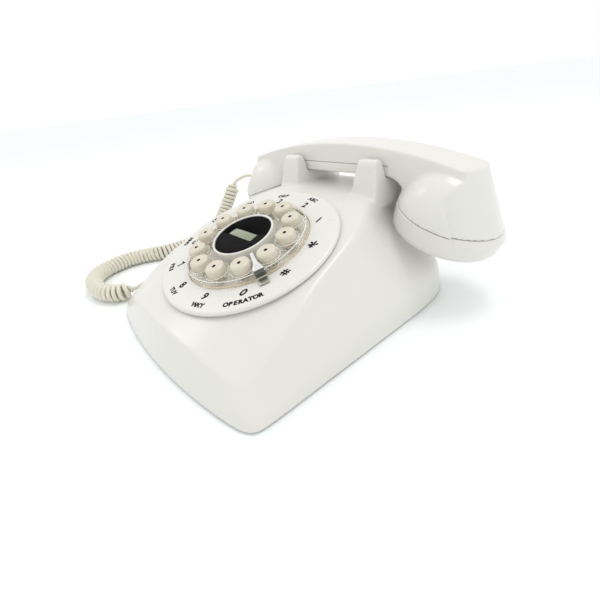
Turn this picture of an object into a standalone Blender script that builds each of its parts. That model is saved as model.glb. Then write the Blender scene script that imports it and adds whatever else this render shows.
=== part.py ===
"""Desk telephone with a round push-button dial, built as an assembly of separate parts.

Frame: metres, +Z up, the dial faces -Y.  The origin lies on the table, under the middle of the
telephone (its coiled cord is left out of that middle).  Sizes below are written in millimetres and
turned into metres by mm() and by the mesh helpers.
"""
import math

import bmesh
import bpy
from mathutils import Matrix, Vector

# ---------------------------------------------------------------- driving dimensions (mm, degrees)
GAP = 0.3                       # air left between two pieces that touch
FOOT_HEIGHT = 1.5               # how far the rubber feet lift the housing
WALL = 2.4                      # thickness of the housing's moulded wall

DIAL_CENTRE = (0.0, -30.3, 52.6)
DIAL_TILT = 18.05               # slope of the dial face
FACE_DROP = 3.0                 # housing face below the number plate's top
DIAL_HOLE_RADIUS = 57.5
PLATE_RADIUS = 62.1
WHEEL_RADIUS = 42.4
WHEEL_TOP = 4.5
HUB_RADIUS = 21.4
HUB_TOP = 8.0
BUTTON_COUNT = 12
BUTTON_CIRCLE = 32.9            # radius of the ring of buttons
FIRST_BUTTON_ANGLE = 48.7       # button 1, counter-clockwise from +X on the dial
BUTTON_RADIUS = 6.5
BUTTON_TOP = 9.4
WELL_RADIUS = 7.2
STEM_RADIUS = 2.5
STOP_ANGLE = -26.3              # finger stop, between buttons 0 and #

HANDSET_Y = 72.5
CUP_X = 83.6                    # centre of each cup's seam circle
CUP_Z = 57.5
CUP_TILT = 18.25                # the caps face inward by this much
CUP_RADIUS = 34.2
CUP_HEIGHT = 31.0
CAP_HEIGHT = 16.3
HANDLE_TOP = 101.9
HANDLE_ARCH_RADIUS = 335.0
HANDLE_UNDERSIDE = 80.7
HANDLE_SEAM = 88.1
HANDLE_WIDTH = 31.0
END_FOOT = (113.8, 46.8)        # the handset's flat end: its lowest point, as x and z
END_LEAN = 19.6                 # and how far it leans in towards the top
END_BOW = 38.0                  # radius of the end face, which bulges a little in plan
INSERT_HALF_LENGTH = 46.0

EAR_X = 36.8
SADDLE_Z = 80.3

FOOT_SPOTS = {"front_left": (-66, -80), "front_right": (66, -80), "rear_left": (-58, 68),
              "rear_right": (58, 68)}
SCREW_SPOTS = {"front": (0, -91.0), "rear": (0, 82.5)}

CORD_RADIUS = 1.8
COIL_RADIUS = 7.4

COIL_ROUTE = [
    (-142.0, 57.0, 58.6), (-143.0, 50.0, 48.0), (-144.5, 43.0, 36.0), (-146.0, 33.0, 22.5),
    (-148.0, 18.0, 11.8), (-149.0, 0.0, 7.5), (-149.5, -15.0, 7.5), (-153.0, -32.0, 7.5),
    (-161.0, -47.0, 7.5), (-166.0, -61.0, 7.5), (-165.0, -77.0, 7.5), (-159.5, -92.5, 7.5),
    (-148.0, -103.0, 7.5), (-133.0, -107.0, 7.5), (-118.0, -106.5, 7.5), (-106.0, -102.0, 7.5),
    (-98.6, -94.0, 7.5), (-97.0, -85.0, 7.5),
]
HANDSET_LEAD_ROUTE = [
    (-117.8, 72.5, 58.8), (-121.5, 72.5, 60.3), (-126.0, 72.0, 62.6), (-130.6, 70.4, 64.6),
    (-135.0, 67.2, 64.6), (-138.4, 63.4, 63.0), (-140.9, 60.0, 61.2), (-141.9, 57.5, 59.5),
]
BASE_LEAD_ROUTE = [
    (-97.0, -84.1, 7.5), (-96.6, -81.2, 8.0), (-95.0, -77.8, 9.6), (-91.6, -75.7, 10.9),
    (-87.2, -75.5, 11.0),
]
BASE_PLUG_Y = -75.5
BASE_PLUG_Z = 11.0

# The housing's right half, as rings of a coarse cage from the table up to the dial opening.  Every
# ring runs from the front middle round the side to the back middle.
FOOT_LINE = [
    (0, -109.2, -1.0), (30, -108.0, -1.0), (58, -104.5, -1.0), (77, -101.0, -1.0), (85.3, -96.8, -1.0),
    (85.7, -88, -1.0), (85.5, -60, -1.0), (85.5, -30, -1.0), (85.5, 0, -1.0), (85.5, 28, -1.0),
    (85.5, 57, -1.0), (78, 83.5, -1.0), (52, 94, -1.0), (26, 94, -1.0), (0, 94, -1.0),
]
SKIRT_LINE = [
    (0, -106.9, 7.5), (30, -105.8, 7.5), (57.4, -102.7, 7), (75.5, -99.5, 6), (83.3, -95.9, 5.6),
    (84.5, -87.5, 6), (84.3, -60, 9.6), (84.8, -30, 13), (85.0, 0, 15), (85.2, 28, 18),
    (85.3, 57, 23), (77, 82.5, 23), (52, 94, 23), (26, 94, 23), (0, 94, 23),
]
FLANK_LINE = [
    (0, -104.0, 16), (30, -103.0, 16), (56.5, -100.4, 14), (70.6, -97.6, 11.5), (77.4, -94.0, 10.5),
    (79.4, -86.6, 12.5), (80.0, -60, 22), (76.6, -30, 29), (75.5, 0, 34), (74.5, 28, 36),
    (66, 56, 33.5), (63, 77, 33.5), (46, 94, 38), (24, 94, 38), (0, 94, 38),
]
SHOULDER_LINE = [
    (0, -101.7, 22.4), (30, -100.8, 22.2), (55.4, -98.4, 19), (67.2, -95.8, 15.8),
    (73.2, -92.2, 14.0), (75.6, -85.3, 17.0), (75.4, -60, 31.0), (69.2, -30, 41.5), (67.4, 0, 49),
    (63, 26, 52), (47, 48, 52), (44.5, 75, 54), (38, 93.8, 56), (22, 94, 56), (0, 94, 56),
]
CREST_LINE = [
    (0, -100.4, 25.6), (30, -99.6, 25.2), (54.4, -97.2, 22.0), (65.4, -94.4, 18.4),
    (71.0, -90.8, 16.4), (73.6, -84.0, 19.8), (73.8, -60, 35.4), (66.4, -30, 48.2), (64, 0, 59.0),
    (56, 25, 66.6), (44.5, 47, 70.6), (43, 75, 71.5), (37, 93.2, 71.5), (22, 93.4, 71.3),
    (0, 93.4, 71.3),
]
BROW_LINE = [
    (0, -95.0, 27.2), (29, -94.2, 26.9), (51, -91.6, 25.0), (60, -88.6, 22.8), (64.4, -84.6, 22.6),
    (67.0, -77, 26.8), (67.6, -56, 39.6), (62.6, -29, 49.5), (59.2, -2, 58.4), (50, 21, 66.2),
    (39.5, 33.5, 70.23), (33, 39, 71.9), (24, 41, 71.9), (12, 41.5, 71.9), (0, 41.5, 71.9),
]
CREST_SHARPNESS = (0.62, 0.62, 0.62, 0.62, 0.55, 0.42, 0.3, 0.22, 0.12, 0.1, 0.15, 0.3, 0.3, 0.3)

# ---------------------------------------------------------------- colours
IVORY = (0.84, 0.83, 0.80, 1.0)
CREAM = (0.80, 0.75, 0.65, 1.0)
CORD_CREAM = (0.76, 0.73, 0.62, 1.0)
CLEAR = (0.90, 0.88, 0.80, 1.0)
BLACK = (0.015, 0.015, 0.016, 1.0)
LCD_GREEN = (0.33, 0.36, 0.27, 1.0)
STEEL = (0.75, 0.75, 0.74, 1.0)
BOARD_GREEN = (0.04, 0.20, 0.09, 1.0)
DARK_GREY = (0.10, 0.10, 0.11, 1.0)
BRASS = (0.72, 0.56, 0.26, 1.0)
COPPER = (0.62, 0.30, 0.16, 1.0)
RUBBER = (0.05, 0.05, 0.05, 1.0)


def mm(*values):
    """A vector in metres from millimetres."""
    return Vector(values) * 0.001


def start_clean():
    for ob in list(bpy.data.objects):
        bpy.data.objects.remove(ob, do_unlink=True)
    for collection in list(bpy.data.collections):
        bpy.data.collections.remove(collection)


start_clean()
PARTS = bpy.data.collections.new("rotary_telephone")
CUTTERS = bpy.data.collections.new("cutters")
bpy.context.scene.collection.children.link(PARTS)
bpy.context.scene.collection.children.link(CUTTERS)


# ---------------------------------------------------------------- helpers
def material(name, colour, roughness, metallic=0.0):
    mat = bpy.data.materials.new(name)
    mat.use_nodes = True
    mat.diffuse_color = colour
    shader = mat.node_tree.nodes["Principled BSDF"]
    shader.inputs["Base Color"].default_value = colour
    shader.inputs["Roughness"].default_value = roughness
    shader.inputs["Metallic"].default_value = metallic
    return mat


def empty(name, location=(0, 0, 0), rotation=(0, 0, 0), parent=None):
    ob = bpy.data.objects.new(name, None)
    ob.location = mm(*location)
    ob.rotation_euler = [math.radians(angle) for angle in rotation]
    ob.parent = parent
    PARTS.objects.link(ob)
    return ob


def add_part(name, mesh, finish, parent=None, location=(0, 0, 0), rotation=(0, 0, 0)):
    """Link a mesh as a named part; finish is its colour, roughness and metallic value."""
    ob = bpy.data.objects.new(name, mesh)
    ob.location = mm(*location)
    ob.rotation_euler = [math.radians(angle) for angle in rotation]
    ob.parent = parent
    if not mesh.materials:
        mesh.materials.append(material(name, *finish))
    PARTS.objects.link(ob)
    return ob


def add_cutter(name, mesh, parent=None, location=(0, 0, 0), rotation=(0, 0, 0)):
    ob = bpy.data.objects.new(name, mesh)
    ob.location = mm(*location)
    ob.rotation_euler = [math.radians(angle) for angle in rotation]
    ob.parent = parent
    ob.hide_render = True
    ob.display_type = "WIRE"
    CUTTERS.objects.link(ob)
    return ob


def boolean(ob, other, operation="DIFFERENCE"):
    mod = ob.modifiers.new(operation.lower(), "BOOLEAN")
    mod.operation = operation
    mod.solver = "EXACT"
    mod.object = other


def finish_mesh(name, bm):
    mesh = bpy.data.meshes.new(name)
    bmesh.ops.recalc_face_normals(bm, faces=bm.faces)
    bm.to_mesh(mesh)
    bm.free()
    return mesh


def box_mesh(name, low, high, round_edges=0.0, segments=2):
    """A box between two corners, in mm, with rounded edges where asked."""
    bm = bmesh.new()
    bmesh.ops.create_cube(bm, size=1.0)
    size = mm(*high) - mm(*low)
    middle = (mm(*high) + mm(*low)) / 2
    bmesh.ops.scale(bm, vec=size, verts=bm.verts)
    bmesh.ops.translate(bm, vec=middle, verts=bm.verts)
    if round_edges:
        bmesh.ops.bevel(bm, geom=bm.edges[:], offset=round_edges * 0.001, segments=segments,
                        profile=0.5, affect="EDGES")
    return finish_mesh(name, bm)


def rod_mesh(name, spots, radius, low, high, sides=12):
    """Upright rods between two heights, one at each (x, y) spot."""
    bm = bmesh.new()
    for x, y in spots:
        place = (Matrix.Translation(mm(x, y, (low + high) / 2))
                 @ Matrix.Rotation(math.pi / sides, 4, "Z"))
        bmesh.ops.create_cone(bm, cap_ends=True, segments=sides, radius1=radius * 0.001,
                              radius2=radius * 0.001, depth=(high - low) * 0.001, matrix=place)
    return finish_mesh(name, bm)


def turned_mesh(name, profile):
    """A profile of (radius, height) points for a Screw modifier; it closes unless it meets the axis."""
    mesh = bpy.data.meshes.new(name)
    points = [mm(radius, 0, height) for radius, height in profile]
    edges = [(i, i + 1) for i in range(len(points) - 1)]
    if profile[0][0] > 0 and profile[-1][0] > 0:
        edges.append((len(points) - 1, 0))
    mesh.from_pydata(points, edges, [])
    return mesh


def spin(ob, steps):
    """Turn a profile through a full circle about its own Z axis."""
    mod = ob.modifiers.new("turn", "SCREW")
    mod.axis = "Z"
    mod.steps = steps
    mod.render_steps = steps
    mod.use_merge_vertices = True
    mod.merge_threshold = 0.00001
    mod.use_smooth_shade = True


def turned_part(name, profile, finish, steps=32, **place):
    ob = add_part(name, turned_mesh(name, profile), finish, **place)
    spin(ob, steps)
    return ob


def outline_mesh(name, outline, thickness):
    """A flat outline of (x, y) points with a thickness centred on z = 0."""
    curve = bpy.data.curves.new(name, "CURVE")
    curve.dimensions = "2D"
    curve.fill_mode = "BOTH"
    curve.extrude = thickness * 0.0005
    spline = curve.splines.new("POLY")
    spline.points.add(len(outline) - 1)
    for point, (x, y) in zip(spline.points, outline):
        point.co = (x * 0.001, y * 0.001, 0, 1)
    spline.use_cyclic_u = True
    return curve_to_mesh(name, curve)


def curve_to_mesh(name, curve):
    """The closed mesh of a curve, with its loose caps welded on."""
    holder = bpy.data.objects.new(name + "_curve", curve)
    bpy.context.scene.collection.objects.link(holder)
    bpy.context.view_layer.update()
    graph = bpy.context.evaluated_depsgraph_get()
    mesh = bpy.data.meshes.new_from_object(holder.evaluated_get(graph))
    bpy.data.objects.remove(holder, do_unlink=True)
    bm = bmesh.new()
    bm.from_mesh(mesh)
    bmesh.ops.remove_doubles(bm, verts=bm.verts, dist=0.00001)
    bpy.data.meshes.remove(mesh)
    return finish_mesh(name, bm)


def arc(centre, radius, start, end, steps):
    """Points on an arc, in the plane of an outline; angles in degrees."""
    points = []
    for i in range(steps + 1):
        angle = math.radians(start + (end - start) * i / steps)
        points.append((centre[0] + radius * math.cos(angle), centre[1] + radius * math.sin(angle)))
    return points


def smooth_route(points, spacing):
    """Evenly spaced points on a Catmull-Rom curve through a route's own points."""
    route = [Vector(point) for point in points]
    route = [2 * route[0] - route[1]] + route + [2 * route[-1] - route[-2]]
    fine = []
    for a, b, c, d in zip(route, route[1:], route[2:], route[3:]):
        for i in range(24):
            t = i / 24
            fine.append(0.5 * (2 * b + (c - a) * t + (2 * a - 5 * b + 4 * c - d) * t * t
                               + (3 * b - a - 3 * c + d) * t ** 3))
    fine.append(route[-2])
    total = sum((b - a).length for a, b in zip(fine, fine[1:]))
    count = max(2, round(total / spacing))
    result = [fine[0]]
    walked = 0.0
    for a, b in zip(fine, fine[1:]):
        walked += (b - a).length
        if walked >= total * len(result) / count and len(result) < count:
            result.append(b)
    result.append(fine[-1])
    return result


def cord_part(name, route, radius, spacing, finish):
    """A round cord along a route, as a filled tube."""
    points = smooth_route(route, spacing)
    curve = bpy.data.curves.new(name, "CURVE")
    curve.dimensions = "3D"
    curve.bevel_depth = radius * 0.001
    curve.bevel_resolution = 2
    curve.use_fill_caps = True
    spline = curve.splines.new("POLY")
    spline.points.add(len(points) - 1)
    for target, point in zip(spline.points, points):
        target.co = (*mm(*point), 1)
    return add_part(name, curve_to_mesh(name, curve), finish)


# ---------------------------------------------------------------- housing
def face_height(y, drop=FACE_DROP):
    """Height of the sloping face at y, a given drop below the number plate's top."""
    tilt = math.radians(DIAL_TILT)
    return DIAL_CENTRE[2] - drop / math.cos(tilt) + (y - DIAL_CENTRE[1]) * math.tan(tilt)


def dial_opening_line(count):
    """The round opening for the dial, on the face, from the front middle to the back middle."""
    points = []
    tilt = math.radians(DIAL_TILT)
    for i in range(count):
        angle = math.radians(-90 + 180 * i / (count - 1))
        across = DIAL_HOLE_RADIUS * math.cos(angle)
        along = DIAL_HOLE_RADIUS * math.sin(angle)
        y = DIAL_CENTRE[1] + along * math.cos(tilt) + FACE_DROP * math.sin(tilt)
        points.append((across if 0 < i < count - 1 else 0.0, y, face_height(y)))
    return points


def housing_cage():
    """The right half of the housing as an open coarse cage."""
    rings = [FOOT_LINE, SKIRT_LINE, FLANK_LINE, SHOULDER_LINE, CREST_LINE, BROW_LINE,
             dial_opening_line(len(BROW_LINE))]
    bm = bmesh.new()
    crease = bm.edges.layers.float.new("crease_edge")
    grid = [[bm.verts.new(mm(*point)) for point in ring] for ring in rings]
    for low, high in zip(grid, grid[1:]):
        for i in range(len(low) - 1):
            bm.faces.new((low[i], low[i + 1], high[i + 1], high[i]))
    crest = grid[rings.index(CREST_LINE)]
    for i, sharpness in enumerate(CREST_SHARPNESS):
        bm.edges.get((crest[i], crest[i + 1]))[crease] = sharpness
    mesh = bpy.data.meshes.new("housing")
    bm.to_mesh(mesh)
    bm.free()
    return mesh


def cradle_mesh(side):
    """One cradle: a front ear and a rear ear with the saddle between them, tapering upward."""
    outline = [
        (40.5, 62.0), (43.6, 74.0), (46.6, 90.0), (47.8, 92.4), (49.6, 93.2), (52.4, 93.0),
        (54.6, 91.4), (56.4, 86.0), (56.7, SADDLE_Z), (88.4, SADDLE_Z), (88.8, 88.0),
        (90.2, 90.8), (92.6, 90.8), (93.8, 88.0), (93.9, 62.0),
    ]
    bm = bmesh.new()
    for x in (-1, 1):
        ring = []
        for y, z in outline:
            half_width = 11.6 - 4.4 * (z - 62.0) / 31.0
            ring.append(bm.verts.new(mm(side * EAR_X + x * half_width, y, z)))
        bm.faces.new(ring if x < 0 else ring[::-1])
    bm.verts.ensure_lookup_table()
    count = len(outline)
    for i in range(count):
        j = (i + 1) % count
        bm.faces.new((bm.verts[i], bm.verts[j], bm.verts[count + j], bm.verts[count + i]))
    return finish_mesh("cradle", bm)


def build_housing():
    housing = add_part("housing", housing_cage(), (IVORY, 0.25))
    mirror = housing.modifiers.new("mirror", "MIRROR")
    mirror.merge_threshold = 0.0001
    soften = housing.modifiers.new("soften", "SUBSURF")
    soften.levels = 1
    soften.render_levels = 1
    wall = housing.modifiers.new("wall", "SOLIDIFY")
    wall.thickness = WALL * 0.001
    wall.offset = -1.0
    below = box_mesh("below_foot", (-120, -140, -30), (120, 140, FOOT_HEIGHT))
    boolean(housing, add_cutter("below_foot", below))
    for side, word in ((-1, "left"), (1, "right")):
        cradle = add_cutter("cradle_" + word, cradle_mesh(side))
        edge = cradle.modifiers.new("round", "BEVEL")
        edge.width = 0.001
        edge.segments = 2
        edge.limit_method = "ANGLE"
        edge.angle_limit = math.radians(60)
        boolean(housing, cradle, "UNION")
        shaft = box_mesh("plunger_shaft", (-3.4, -5.4, 55), (3.4, 5.4, 90))
        boolean(housing, add_cutter("shaft_" + word, shaft, location=(side * EAR_X, HANDSET_Y, 0)))
    for word, top in (("front", 27.6), ("rear", 68.6)):
        x, y = SCREW_SPOTS[word]
        boss = rod_mesh("boss", [(x, y)], 3.6, 4.8, top)
        boolean(housing, add_cutter("boss_" + word, boss), "UNION")
        boolean(housing, add_cutter("pilot_" + word, rod_mesh("pilot", [(x, y)], 1.9, 3.0, 14.0)))
    openings = {
        "handset_plug_opening": ((-92, BASE_PLUG_Y - 4.2, 6.8), (-74.6, BASE_PLUG_Y + 4.2, 15.2)),
        "line_opening": ((22.5, 88, 6.8), (33.5, 100, 17.2)),
        "switch_opening": ((-47, 88, 9.5), (-33, 100, 14.5)),
    }
    for name, (low, high) in openings.items():
        boolean(housing, add_cutter(name, box_mesh(name, low, high)))
    return housing


# ---------------------------------------------------------------- base and what stands on it
def base_outline(inset):
    half = 85.5 - inset
    front = -98.0 + inset
    back = 94.0 - inset
    bow = []
    for i in range(9):
        x = half - 8 - 2 * (half - 8) * i / 8
        bow.append((x, front - 9.0 * (1 - (x / half) ** 2)))
    rear = 33.0
    return (bow + arc((-half + 9, front + 7), 9, 195, 180, 2)
            + arc((-half + rear, back - rear), rear, 180, 90, 6)
            + arc((half - rear, back - rear), rear, 90, 0, 6)
            + arc((half - 9, front + 7), 9, 0, -15, 2))


def build_base():
    plate = add_part("base_plate", outline_mesh("base_plate", base_outline(5.2), 2.0),
                     (STEEL, 0.45, 1.0), location=(0, 0, 3.3))
    holes = rod_mesh("screw_holes", list(SCREW_SPOTS.values()), 2.2, -5, 5)
    boolean(plate, add_cutter("screw_holes", holes, location=(0, 0, 3.3)))
    foot = [(0, 2.0), (6.6, 2.0), (7.0, 1.6), (7.0, 0.5), (6.4, 0), (0, 0)]
    for word, (x, y) in FOOT_SPOTS.items():
        turned_part("foot_" + word, foot, (RUBBER, 0.85), 14, location=(x, y, 0))
    screw = [(0, 12.0), (1.5, 12.0), (1.5, 2.0), (3.8, 2.0), (3.8, 1.2), (2.6, 0.4), (0, 0.4)]
    for word, (x, y) in SCREW_SPOTS.items():
        turned_part("housing_screw_" + word, screw, (STEEL, 0.3, 1.0), 12, location=(x, y, 0))


def build_electronics():
    board = box_mesh("main_board", (-50, -62, 12.0), (50, 8, 13.6))
    add_part("main_board", board, (BOARD_GREEN, 0.5))
    for i, (x, y) in enumerate(((-42, -54), (42, -54), (-42, 0), (42, 0))):
        add_part(f"standoff_{i + 1}", rod_mesh("standoff", [(x, y)], 2.6, 4.6, 11.7),
                 (BRASS, 0.35, 1.0))
    jack = add_part("handset_cord_jack", box_mesh("jack", (-74.2, -81.2, 4.7), (-62, -69.8, 15.8)),
                    (DARK_GREY, 0.4))
    socket = box_mesh("socket", (-90, BASE_PLUG_Y - 3.7, BASE_PLUG_Z - 3.7),
                      (-69.5, BASE_PLUG_Y + 3.7, BASE_PLUG_Z + 3.7))
    boolean(jack, add_cutter("handset_socket", socket))
    line = add_part("line_jack", box_mesh("line_jack", (20.5, 76, 4.7), (35.5, 91.2, 18.8)),
                    (DARK_GREY, 0.4))
    boolean(line, add_cutter("line_socket", box_mesh("socket", (23.5, 80, 7.8), (32.5, 99, 16.2))))
    switch = box_mesh("ringer_switch_body", (-48, 82, 4.7), (-32, 88.6, 17))
    add_part("ringer_switch_body", switch, (DARK_GREY, 0.4))
    knob = box_mesh("ringer_switch_knob", (-2.2, -2.5, -1.6), (2.2, 6.6, 1.6), 0.4, 1)
    add_part("ringer_switch_knob", knob, (BLACK, 0.4), location=(-42.0, 91.5, 12.0))


GONG_SPOTS = {"left": (-31.0, 40.0), "right": (31.0, 40.0)}
CLAPPER_PIVOT = (0.0, 67.0, 17.0)
PIN_RADIUS = 1.1


def build_ringer():
    gong = [(0, 27.0), (3.2, 27.0), (12, 26.4), (19.5, 23.8), (23.6, 18.0), (24.6, 11.0),
            (23.4, 11.0), (22.4, 17.6), (18.8, 22.8), (11.8, 25.2), (3.0, 25.6), (3.0, 4.6),
            (0, 4.6)]
    for word, (x, y) in GONG_SPOTS.items():
        turned_part("gong_" + word, gong, (BRASS, 0.25, 1.0), 18, location=(x, y, 0))
    coil = rod_mesh("ringer_coil", [(0, 0)], 8.0, -11, 11, 20)
    add_part("ringer_coil", coil, (COPPER, 0.4, 0.6), location=(0, 70.0, 33.0),
             rotation=(0, 90, 0))
    frame = box_mesh("ringer_frame", (-16, 64, 4.7), (16, 76, 9.0))
    add_part("ringer_frame", frame, (STEEL, 0.4, 1.0))
    clapper = add_part("clapper", box_mesh("clapper", (-1.2, -26, -0.8), (1.2, 0, 0.8)),
                       (STEEL, 0.35, 1.0), location=CLAPPER_PIVOT)
    hub = rod_mesh("clapper_hub", [(0, 0)], 3.0, -2.0, 2.0, 24)
    boolean(clapper, add_cutter("clapper_hub", hub, location=CLAPPER_PIVOT), "UNION")
    bore = rod_mesh("clapper_bore", [(0, 0)], PIN_RADIUS + 0.15, -5.0, 5.0, 24)
    boolean(clapper, add_cutter("clapper_bore", bore, location=CLAPPER_PIVOT))
    add_part("clapper_pin", rod_mesh("clapper_pin", [(0, 0)], PIN_RADIUS, -7.7, 3.6, 24),
             (STEEL, 0.35, 1.0), location=CLAPPER_PIVOT)
    ball = bmesh.new()
    bmesh.ops.create_uvsphere(ball, u_segments=12, v_segments=8, radius=0.003,
                              matrix=Matrix.Translation(mm(0, -27, 0)))
    boolean(clapper, add_cutter("clapper_ball", finish_mesh("ball", ball), location=CLAPPER_PIVOT),
            "UNION")


def build_hook():
    """Two plungers that the handset holds down, joined below by a crossbar."""
    for side, word in ((-1, "left"), (1, "right")):
        plunger = box_mesh("plunger", (-2.9, -4.9, 56.3), (2.9, 4.9, SADDLE_Z - 0.2), 0.6, 2)
        add_part("hook_plunger_" + word, plunger, (IVORY, 0.3), location=(side * EAR_X, HANDSET_Y, 0))
    add_part("hook_bar", box_mesh("hook_bar", (-41, 69.5, 52.0), (41, 75.5, 56.0), 0.5, 1),
             (DARK_GREY, 0.5))
    add_part("hook_switch", box_mesh("hook_switch", (-34, 66, 4.7), (-22, 78, 51.2), 0.5, 1),
             (DARK_GREY, 0.5))


# ---------------------------------------------------------------- dial
def on_circle(radius, degrees):
    angle = math.radians(degrees)
    return radius * math.cos(angle), radius * math.sin(angle)


BUTTON_NAMES = ("1", "2", "3", "4", "5", "6", "7", "8", "9", "0", "hash", "star")
BUTTON_SPOTS = [on_circle(BUTTON_CIRCLE, FIRST_BUTTON_ANGLE + 360 * i / BUTTON_COUNT)
                for i in range(BUTTON_COUNT)]


def build_dial():
    dial = empty("dial_frame", DIAL_CENTRE, (DIAL_TILT, 0, 0))
    plate = [(PLATE_RADIUS - 1.5, 0), (PLATE_RADIUS - 0.4, -0.5), (PLATE_RADIUS, -1.4),
             (PLATE_RADIUS, -2.5), (55.4, -2.7), (55.4, -9.0), (53.4, -9.0), (53.4, -2.7),
             (43.0, -2.7), (43.0, -0.5), (43.6, 0)]
    turned_part("number_plate", plate, (IVORY, 0.3), 48, parent=dial)
    pan = turned_part("dial_pan", [(0, -3.2), (53.0, -3.2), (53.0, -5.0), (0, -5.0)],
                      (CREAM, 0.4), 32, parent=dial)
    boolean(pan, add_cutter("stem_holes", rod_mesh("stem_holes", BUTTON_SPOTS, 3.2, -8, 0, 8),
                            parent=dial))
    wheel_profile = [(41.6, WHEEL_TOP), (WHEEL_RADIUS, WHEEL_TOP - 0.8), (WHEEL_RADIUS, -2.6),
                     (21.8, -2.6), (21.8, WHEEL_TOP)]
    wheel = turned_part("finger_wheel", wheel_profile, (CLEAR, 0.05), 40, parent=dial)
    boolean(wheel, add_cutter("wells", rod_mesh("wells", BUTTON_SPOTS, WELL_RADIUS, -8, 9, 14),
                              parent=dial))
    hub = [(20.8, HUB_TOP), (HUB_RADIUS, HUB_TOP - 0.6), (HUB_RADIUS, -2.6), (18, -2.6), (18, 2.5),
           (0, 2.5)]
    hub = [(0, 4.0), (19.9, 4.0), (19.9, HUB_TOP - 0.3), (20.2, HUB_TOP)] + hub
    turned_part("hub_ring", hub, (IVORY, 0.25), 32, parent=dial)
    card = turned_part("center_card", [(0, 7.5), (19.5, 7.5), (19.5, 6.6), (0, 6.6)],
                       (BLACK, 0.15), 32, parent=dial)
    window_hole = box_mesh("window_hole", (-12.4, -3.7, 5), (12.4, 3.7, 9))
    boolean(card, add_cutter("window_hole", window_hole, parent=dial))
    window = box_mesh("display_window", (-12.0, -3.3, 4.4), (12.0, 3.3, 7.3))
    add_part("display_window", window, (LCD_GREEN, 0.2), parent=dial)
    build_finger_stop(dial)
    build_buttons(dial)
    turned_part("keypad_membrane", [(0, -11.1), (50, -11.1), (50, -12.2), (0, -12.2)],
                (DARK_GREY, 0.8), 32, parent=dial)
    turned_part("keypad_board", [(0, -12.5), (50, -12.5), (50, -14.1), (0, -14.1)],
                (BOARD_GREEN, 0.5), 32, parent=dial)


def build_buttons(dial):
    """Round caps on stems; each stands in its own well and slides along the dial's axis."""
    profile = [(0, BUTTON_TOP), (5.2, BUTTON_TOP), (5.9, BUTTON_TOP - 0.4), (6.2, BUTTON_TOP - 1.2),
               (BUTTON_RADIUS, 3.0), (BUTTON_RADIUS, -0.9), (STEM_RADIUS, -0.9), (STEM_RADIUS, -8.7),
               (0, -8.7)]
    mesh = turned_mesh("button", profile)
    mesh.materials.append(material("button", CREAM, 0.3))
    for name, (x, y) in zip(BUTTON_NAMES, BUTTON_SPOTS):
        button = add_part("button_" + name, mesh, None, parent=dial, location=(x, y, 0))
        spin(button, 14)


def build_finger_stop(dial):
    """A bent strip: a foot on the number plate, then a finger over the wheel towards the hub."""
    stations = [(50.0, 0.8, 4.4), (44.6, 0.8, 4.4), (43.5, 1.5, 4.3), (43.2, 4.6, 4.2),
                (42.0, 5.7, 4.1), (38.6, 6.2, 3.6), (36.0, 6.4, 2.1), (34.0, 6.5, 1.4),
                (29.0, 6.6, 1.2), (24.6, 6.7, 1.2)]
    bm = bmesh.new()
    rows = [(bm.verts.new(mm(u, -half, h)), bm.verts.new(mm(u, half, h)))
            for u, h, half in stations]
    for (a, b), (c, d) in zip(rows, rows[1:]):
        bm.faces.new((a, c, d, b))
    mesh = finish_mesh("finger_stop", bm)
    stop = add_part("finger_stop", mesh, (STEEL, 0.15, 1.0), parent=dial,
                    rotation=(0, 0, STOP_ANGLE))
    sheet = stop.modifiers.new("sheet", "SOLIDIFY")
    sheet.thickness = 0.0008
    sheet.offset = 0.0


# ---------------------------------------------------------------- handset
def handle_outline():
    """Side view of the handset's arched bar, as (x, z), ending on its two flat ends."""
    lean = math.tan(math.radians(END_LEAN))
    reach = 103.0
    half_angle = math.degrees(math.asin(reach / HANDLE_ARCH_RADIUS))
    top = arc((0, HANDLE_TOP - HANDLE_ARCH_RADIUS), HANDLE_ARCH_RADIUS, 90 + half_angle,
              90 - half_angle, 24)
    low = 63.4
    side = [(END_FOOT[0] - (low - END_FOOT[1]) * lean + 3.0, low), (62.0, 69.6), (57.6, 72.5),
            (56.0, 75.6), (52.6, 78.6), (48.6, 80.2), (44.0, HANDLE_UNDERSIDE)]
    return top + side + [(-x, z) for x, z in reversed(side)]


def cup_mesh():
    """The rounded back of one cup, closed, for turning about the cup's own axis."""
    profile = [(0, CUP_HEIGHT), (7.0, 30.4), (15.0, 28.4), (22.1, 24.6), (27.7, 19.0),
               (31.7, 12.0), (33.7, 5.5), (CUP_RADIUS, 0), (0, 0)]
    return turned_mesh("cup", profile)


def end_mesh():
    """All that lies beyond one bowed end face, which stands at x = 0 here."""
    bow = arc((-END_BOW, 0), END_BOW, -50, 50, 14)
    mesh = outline_mesh("end_face", bow + [(60, 60), (60, -60)], 160)
    mesh.transform(Matrix.Translation(mm(0, 0, 20)))
    return mesh


def cup_place(side):
    return {"location": (side * CUP_X, HANDSET_Y, CUP_Z), "rotation": (0, side * CUP_TILT, 0)}


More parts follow.
